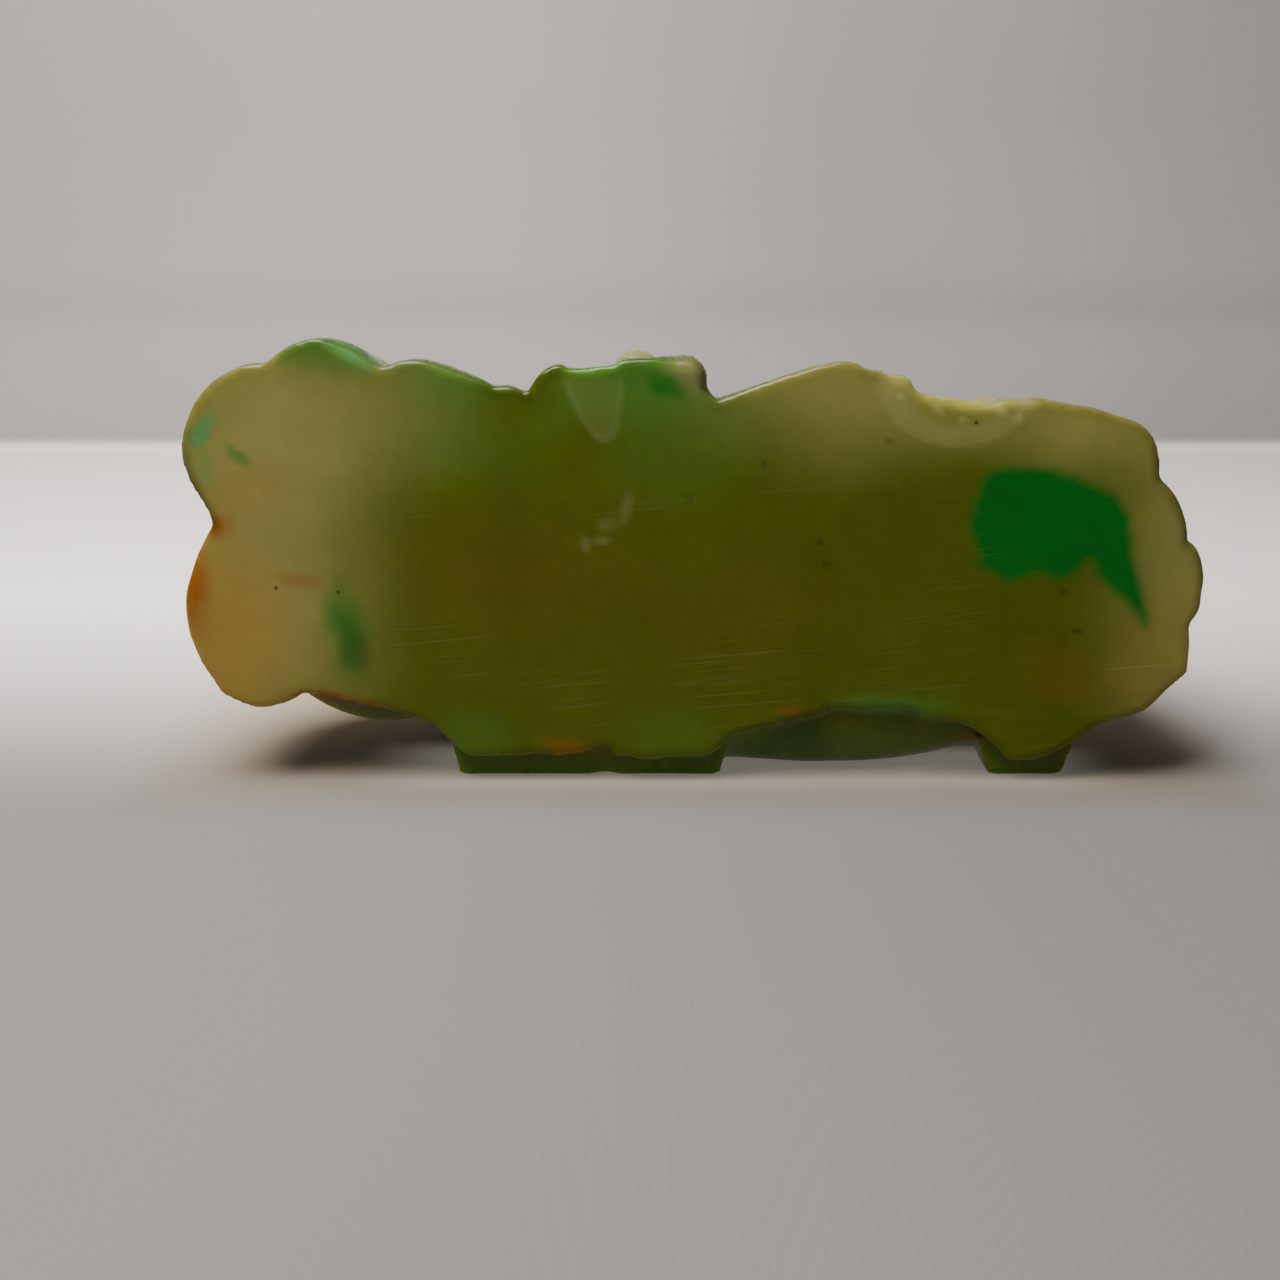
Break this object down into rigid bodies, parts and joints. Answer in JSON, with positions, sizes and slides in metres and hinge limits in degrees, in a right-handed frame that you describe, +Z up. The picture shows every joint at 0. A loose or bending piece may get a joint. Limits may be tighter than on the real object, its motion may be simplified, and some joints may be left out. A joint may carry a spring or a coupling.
{
  "type": "jade figurine",
  "caption": "Polished green stone carving of a lying winged beast in half-round, with a flat ground back.",
  "frame": {"origin": "centre of the bottom of the bounding box, on the surface that the feet stand on", "axes": "+X along the length towards the muzzle, -Y out of the flat ground back, +Z up"},
  "size_m": [0.1001, 0.0278, 0.0444],
  "materials": {
    "ground_stone": "satin",
    "polished_stone": "polished"
  },
  "bodies": {
    "root": {"back_slab": "ground_stone", "torso": "polished_stone", "belly": "polished_stone", "rump": "polished_stone", "haunch": "polished_stone", "hind_foot": "polished_stone", "hind_toes": "polished_stone", "shoulder": "polished_stone", "forearm": "polished_stone", "fore_paw": "polished_stone", "fore_toes": "polished_stone", "mane": "polished_stone", "mane_curls": "polished_stone", "head": "polished_stone", "muzzle": "polished_stone", "nose": "polished_stone", "lower_jaw": "polished_stone", "beard": "polished_stone", "brow": "polished_stone", "eye": "polished_stone", "ear": "polished_stone", "horn": "polished_stone", "wing": "polished_stone", "wing_pearl": "polished_stone", "tail": "polished_stone", "spine_ridge": "polished_stone"}
  },
  "joints": []
}
